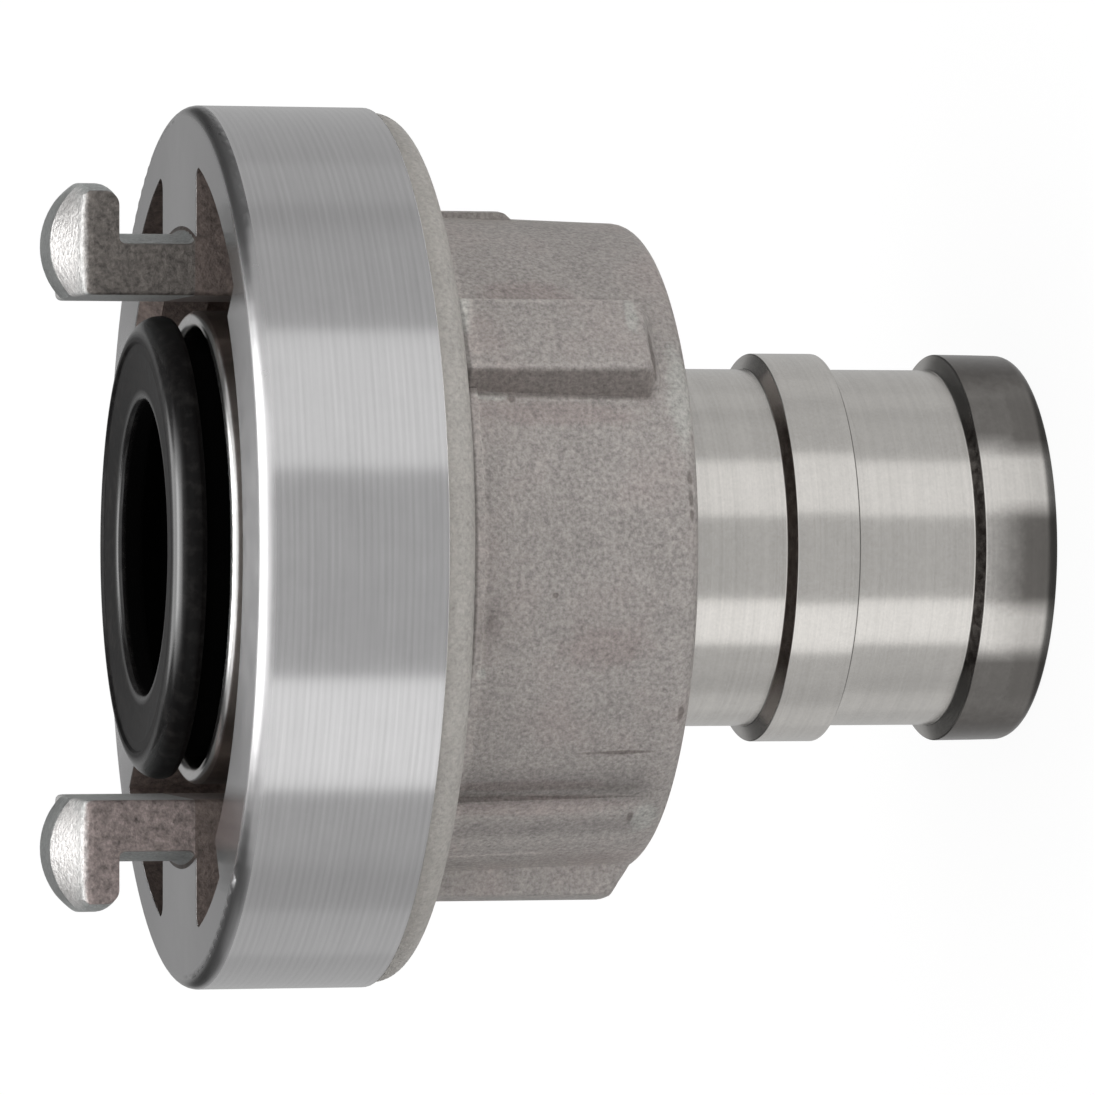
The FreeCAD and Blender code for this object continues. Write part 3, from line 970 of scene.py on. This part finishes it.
@dataclass
class HoseTail:
    """The turned tail: two hose ridges, the journal with its wire groove, and the seal cup."""

    cup_rim: float
    ridge_r: float = 12.3
    ridge_fall: float = 0.07
    groove_r: float = 11.3
    bore_r: float = 9.25
    end_ridge: float = 4.85
    rear_groove: float = 8.05
    mid_ridge: float = 4.05
    front_groove: float = 8.15
    slope: float = 0.4
    hub_wall: float = 5.5
    end_round: float = 0.9
    end_swell_r: float = 4.0
    bore_chamfer: float = 0.35
    root_round: float = 0.8
    journal_round: float = 0.4
    edge: float = 0.12
    fine_edge: float = 0.05
    journal_r: float = 14.75
    wire_z: float = 36.0
    wire_half: float = 0.85
    wire_floor_r: float = 13.15
    cup_wall: float = 1.0
    rim_round_share: float = 0.42
    cup_depth: float = 5.2
    undercut: float = 0.3
    undercut_length: float = 1.9
    undercut_edge: float = 0.08
    bore_edge: float = 0.1
    steps: int = 288

    def build(self) -> bpy.types.Object:
        """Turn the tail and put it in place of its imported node.

        Returns:
            The tail.
        """
        mid = self.end_ridge + self.rear_groove
        front = mid + self.mid_ridge
        journal = front + self.front_groove + self.hub_wall
        floor = self.cup_rim - self.cup_depth
        cup_r = self.journal_r - self.cup_wall
        rim_round = self.cup_wall * self.rim_round_share
        piece = turned("hose_tail_turned", [
            Corner(self.bore_r, self.bore_chamfer, self.bore_edge),
            Corner(self.bore_r + self.bore_chamfer, 0.0, self.bore_edge),
            Corner(self.ridge_r - self.ridge_fall, 0.0, self.end_round, 10),
            Corner(self.ridge_r - self.ridge_fall / 3, self.end_ridge / 2, self.end_swell_r, 6),
            Corner(self.ridge_r, self.end_ridge, self.edge),
            Corner(self.groove_r, self.end_ridge + self.slope, self.edge),
            Corner(self.groove_r, mid, self.edge),
            Corner(self.ridge_r, mid, self.edge),
            Corner(self.ridge_r, front, self.edge),
            Corner(self.groove_r, front + self.slope, self.edge),
            Corner(self.groove_r, journal, self.root_round, 6),
            Corner(self.journal_r, journal, self.journal_round),
            Corner(self.journal_r, self.wire_z - self.wire_half, self.fine_edge, 2),
            Corner(self.wire_floor_r, self.wire_z - self.wire_half),
            Corner(self.wire_floor_r, self.wire_z + self.wire_half),
            Corner(self.journal_r, self.wire_z + self.wire_half, self.fine_edge, 2),
            Corner(self.journal_r, self.cup_rim, rim_round, 6),
            Corner(cup_r, self.cup_rim, rim_round, 6),
            Corner(cup_r, floor + self.undercut_length, self.undercut_edge, 2),
            Corner(cup_r + self.undercut, floor + self.undercut_length),
            Corner(cup_r + self.undercut, floor),
            Corner(self.bore_r, floor, self.bore_edge),
        ], self.steps)
        finish = TurnedFinish(
            stain_top=self.end_ridge,
            corner_z=(self.end_ridge, front),
            corner_length=self.slope,
            cup_floor=floor,
            cup_rim=self.cup_rim,
            cup_r=cup_r,
        )
        piece.data.materials.append(finish.material())
        stand_for(piece, "hose_tail")
        return piece


@dataclass
class LipSeal:
    """The rubber seal: its bead in the cup, its neck and its dished, lipped head."""

    crest: float
    cup_floor: float
    bead_r: float = 14.0
    bead_depth: float = 1.7
    neck_r: float = 13.0
    head_r: float = 14.4
    head_depth: float = 2.0
    crest_r: float = 12.7
    hole_r: float = 9.15
    waterway_r: float = 9.25
    inner_r: float = 10.6
    inner_round: float = 0.3
    dish: float = 0.42
    dish_r: float = 10.05
    dish_round: float = 0.8
    groove: float = 0.16
    groove_edge: float = 0.06
    groove_width: float = 0.5
    groove_round: float = 0.3
    head_corner: float = 0.12
    head_side: float = 0.3
    edge: float = 0.35
    foot_edge: float = 0.1
    steps: int = 288

    def build(self) -> bpy.types.Object:
        """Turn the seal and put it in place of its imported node.

        Returns:
            The seal.
        """
        bead_top = self.cup_floor + self.bead_depth
        under = self.crest - self.head_depth
        lip = self.crest - self.dish
        shoulder = self.head_r - self.crest_r
        groove_end = self.crest_r - 0.05 - self.groove_width
        piece = turned("lip_seal_moulded", [
            Corner(self.waterway_r, self.cup_floor, self.foot_edge),
            Corner(self.bead_r, self.cup_floor, self.foot_edge * 1.5),
            Corner(self.bead_r, bead_top, self.edge, 5),
            Corner(self.neck_r, bead_top, self.edge, 5),
            Corner(self.neck_r, under, self.edge, 5),
            Corner(self.head_r - self.head_corner, under, self.foot_edge),
            Corner(self.head_r, under + self.head_side, self.head_corner),
            Corner(self.head_r, self.crest, shoulder - 0.2, 12),
            Corner(self.crest_r + 0.12, self.crest, self.groove_edge, 3),
            Corner(self.crest_r - 0.05, self.crest - self.groove, self.groove_edge, 3),
            Corner(groove_end, self.crest - self.groove * 0.8, self.groove_round, 4),
            Corner(self.dish_r, lip + 0.05, self.dish_round, 5),
            Corner(self.hole_r, lip, self.edge, 6),
            Corner(self.hole_r, under, self.edge, 5),
            Corner(self.inner_r, under - (self.inner_r - self.hole_r), self.inner_round),
            Corner(self.inner_r, bead_top + (self.inner_r - self.waterway_r), self.inner_round),
            Corner(self.waterway_r, bead_top, self.foot_edge * 2),
        ], self.steps)
        finish = RubberFinish(self.crest, self.head_depth, self.crest_r, self.hole_r)
        piece.data.materials.append(finish.material())
        stand_for(piece, "lip_seal")
        return piece


# The studio


@dataclass(frozen=True)
class Panel:
    """An upright light panel that the metal mirrors, as a strip of the surroundings."""

    from_deg: float
    to_deg: float
    glow: float
    edge: float = 0.8


@dataclass
class Studio:
    """The white room: its light, its floor and the camera."""

    grey: float = 0.60
    panel_foot_deg: float = -40.0
    panel_dim_deg: float = -14.5
    panel_head_deg: float = 28.0
    panels: list[Panel] = field(default_factory=lambda: [
        Panel(20.0, 57.5, 0.50),
        Panel(-65.0, -33.5, 0.70),
        Panel(100.0, 118.0, 0.08, 2.0),
        Panel(-132.0, -108.0, 0.12, 2.0),
    ])
    back_shade: float = 0.21
    back_half_width: float = 0.45
    roof_half_width: float = 0.30
    near_roof_half_width: float = 0.56
    core_half_width: float = 0.46
    roof_glow: float = 0.45
    far_roof_glow: float = 2.3
    core_glow: float = 5.0
    loft_shade: float = 0.50
    ground_shade: float = 0.45
    key_energy: float = 0.85
    key_deg: float = 50.0
    key_rise_deg: float = 4.0
    key_spread_deg: float = 22.0
    floor_r: float = 900.0
    target_z: float = 30.0
    distance: float = 452.72
    elevation_deg: float = 13.019
    focal_px: float = 7183.7
    image_px: float = 1095.0
    sensor: float = 36.0

    def build(self) -> None:
        """Make the room."""
        self._light()
        self._lamp()
        self._floor()
        self._camera()
        bpy.context.scene.view_settings.view_transform = "Standard"

    def _light(self) -> None:
        """Paint the room's light round the object, white where the camera sees it.

        Upright panels stand in a grey room. A long white panel hangs overhead, from the
        near side to the far one, between two darker parts of the ceiling, and the ground
        far below the object is darker.
        """
        world = bpy.data.worlds.new("white_room")
        bpy.context.scene.world = world
        world.use_nodes = True
        graph = Graph(world.node_tree)
        direction = graph.node("ShaderNodeTexCoord", {}, {}).outputs["Generated"]
        x, y, z = graph.parts(direction)
        azimuth = x.math("ARCTAN2", -y) * (180 / math.pi)
        rise = z.math("ARCSINE") * (180 / math.pi)
        behind = y.above(0.0, 0.1)
        light = self.grey + self._panel_light(azimuth, rise)
        light = light - self._shade(x.size(), y, rise, behind)
        light = light + self._roof(x.size(), y, rise, behind)
        ray = graph.node("ShaderNodeLightPath", {}, {}).outputs["Is Camera Ray"]
        seen = Value(graph, ray)
        strength = light.either(0.05) * (1 - seen) + seen
        background = graph.node("ShaderNodeBackground", {}, {"Strength": strength})
        graph.node("ShaderNodeOutputWorld", {}, {"Surface": background.outputs[0]})

    def _panel_light(self, azimuth: Value, rise: Value) -> Value:
        """The light of the upright panels, dimmer near the ground.

        Args:
            azimuth: the direction's angle round the axis, in degrees.
            rise: the direction's angle above the horizon, in degrees.

        Returns:
            The light that the panels add.
        """
        level = rise.between(self.panel_foot_deg, self.panel_head_deg, 14.0)
        level = level * (1 - rise.below(self.panel_dim_deg, 5.0) * 0.35)
        strips = [
            azimuth.between(panel.from_deg, panel.to_deg, panel.edge) * panel.glow
            for panel in self.panels
        ]
        return reduce(Value.__add__, strips) * level

    def _shade(self, aside: Value, y: Value, rise: Value, behind: Value) -> Value:
        """The shade of the far wall, the ceiling's darker parts and the ground.

        Args:
            aside: how far the direction leans towards +X or -X.
            y: how far it leans towards the far side.
            rise: its angle above the horizon, in degrees.
            behind: the mask of the far half of the room.

        Returns:
            The light that the shade takes away.
        """
        wall = behind * aside.below(self.back_half_width, 0.2) * rise.between(-5.0, 40.0, 12.0)
        loft = aside.above(self.roof_half_width - 0.04, 0.12) * y.above(-0.02, 0.14)
        loft = loft * rise.between(-4.0, 60.0, 7.0)
        ground = rise.below(-34.0, 12.0)
        return wall * self.back_shade + loft * self.loft_shade + ground * self.ground_shade

    def _roof(self, aside: Value, y: Value, rise: Value, behind: Value) -> Value:
        """The light of the long panel overhead: its far end, its near end and its core.

        Args:
            aside: how far the direction leans towards +X or -X.
            y: how far it leans towards the far side.
            rise: its angle above the horizon, in degrees.
            behind: the mask of the far half of the room.

        Returns:
            The light that the panel adds.
        """
        far = aside.below(self.roof_half_width, 0.08) * rise.above(46.0, 10.0) * behind
        near = aside.below(self.near_roof_half_width, 0.14) * rise.above(10.0, 8.0)
        core = aside.below(self.core_half_width, 0.4) * y.between(-0.30, 0.22, 0.16)
        light = far * self.far_roof_glow + near * (1 - behind) * self.roof_glow
        return light + core * rise.above(40.0, 20.0) * self.core_glow

    def _lamp(self) -> None:
        """Light the matt castings from the upper near side; mirrors don't show this lamp."""
        data = bpy.data.lights.new("key_lamp", "SUN")
        data.energy = self.key_energy
        data.angle = math.radians(self.key_spread_deg)
        lamp = bpy.data.objects.new("key_lamp", data)
        turn = math.radians(self.key_deg)
        rise = math.radians(self.key_rise_deg)
        flat = math.cos(rise)
        towards = Vector((flat * math.sin(turn), -flat * math.cos(turn), math.sin(rise)))
        lamp.matrix_world = towards.to_track_quat("Z", "Y").to_matrix().to_4x4()
        lamp.visible_glossy = False
        bpy.context.scene.collection.objects.link(lamp)

    def _floor(self) -> None:
        """Lay the white floor that the coupling stands on."""
        mesh = bmesh.new()
        bmesh.ops.create_circle(mesh, cap_ends=True, segments=64, radius=self.floor_r * MM)
        data = bpy.data.meshes.new("floor")
        mesh.to_mesh(data)
        mesh.free()
        floor = bpy.data.objects.new("floor", data)
        bpy.context.scene.collection.objects.link(floor)
        material, graph = new_material("white_floor")
        matt = graph.node("ShaderNodeBsdfDiffuse", {}, {"Color": (0.9, 0.9, 0.9)})
        white = graph.node("ShaderNodeEmission", {}, {"Color": (1.0, 1.0, 1.0), "Strength": 1.0})
        ray = graph.node("ShaderNodeLightPath", {}, {}).outputs["Is Camera Ray"]
        shaders = {0: Value(graph, ray) * 0.95, 1: matt.outputs[0], 2: white.outputs[0]}
        mixed = graph.node("ShaderNodeMixShader", {}, shaders)
        graph.node("ShaderNodeOutputMaterial", {}, {"Surface": mixed.outputs[0]})
        data.materials.append(material)
        floor.visible_glossy = False

    def _camera(self) -> None:
        """Set the camera up beside the coupling, rolled so that the lugs point left."""
        data = bpy.data.cameras.new("camera")
        data.sensor_width = self.sensor
        data.lens = self.focal_px / self.image_px * self.sensor
        data.clip_start = 10 * MM
        data.clip_end = 10.0
        camera = bpy.data.objects.new("camera", data)
        tilt = math.radians(self.elevation_deg)
        backward = Vector((0.0, -math.cos(tilt), math.sin(tilt)))
        right = Vector((0.0, -math.sin(tilt), -math.cos(tilt)))
        up = Vector((1.0, 0.0, 0.0))
        turn = Matrix((right, up, backward)).transposed().to_4x4()
        target = Vector((0.0, 0.0, self.target_z * MM))
        turn.translation = target + backward * self.distance * MM
        camera.matrix_world = turn
        bpy.context.scene.collection.objects.link(camera)
        bpy.context.scene.camera = camera


def mount_height(name: str) -> float:
    """The height of one of the record's mounts, in millimetres."""
    mount = next(m for m in frame["record"]["mounts"] if m["name"] == name)
    return mount["pos_m"][2] / MM


def main() -> None:
    """Build the coupling and the room, and report each piece."""
    front = mount_height("front_face")
    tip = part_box("lug_ring")[1].z / MM
    log.info("lug ring: %s", LugRing(front, tip).dress().name)
    seal_floor, seal_crest = (corner.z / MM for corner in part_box("lip_seal"))
    log.info("hose tail: %s", HoseTail(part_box("hose_tail")[1].z / MM).build().name)
    log.info("lip seal: %s", LipSeal(seal_crest, seal_floor).build().name)
    log.info("retaining ring: %s", wear("retaining_ring", WireFinish().material()).name)
    log.info("slip ring: %s", wear("slip_ring", PlasticFinish().material()).name)
    Studio().build()


if __name__ == "__main__":
    logging.basicConfig(level=logging.INFO)
    main()
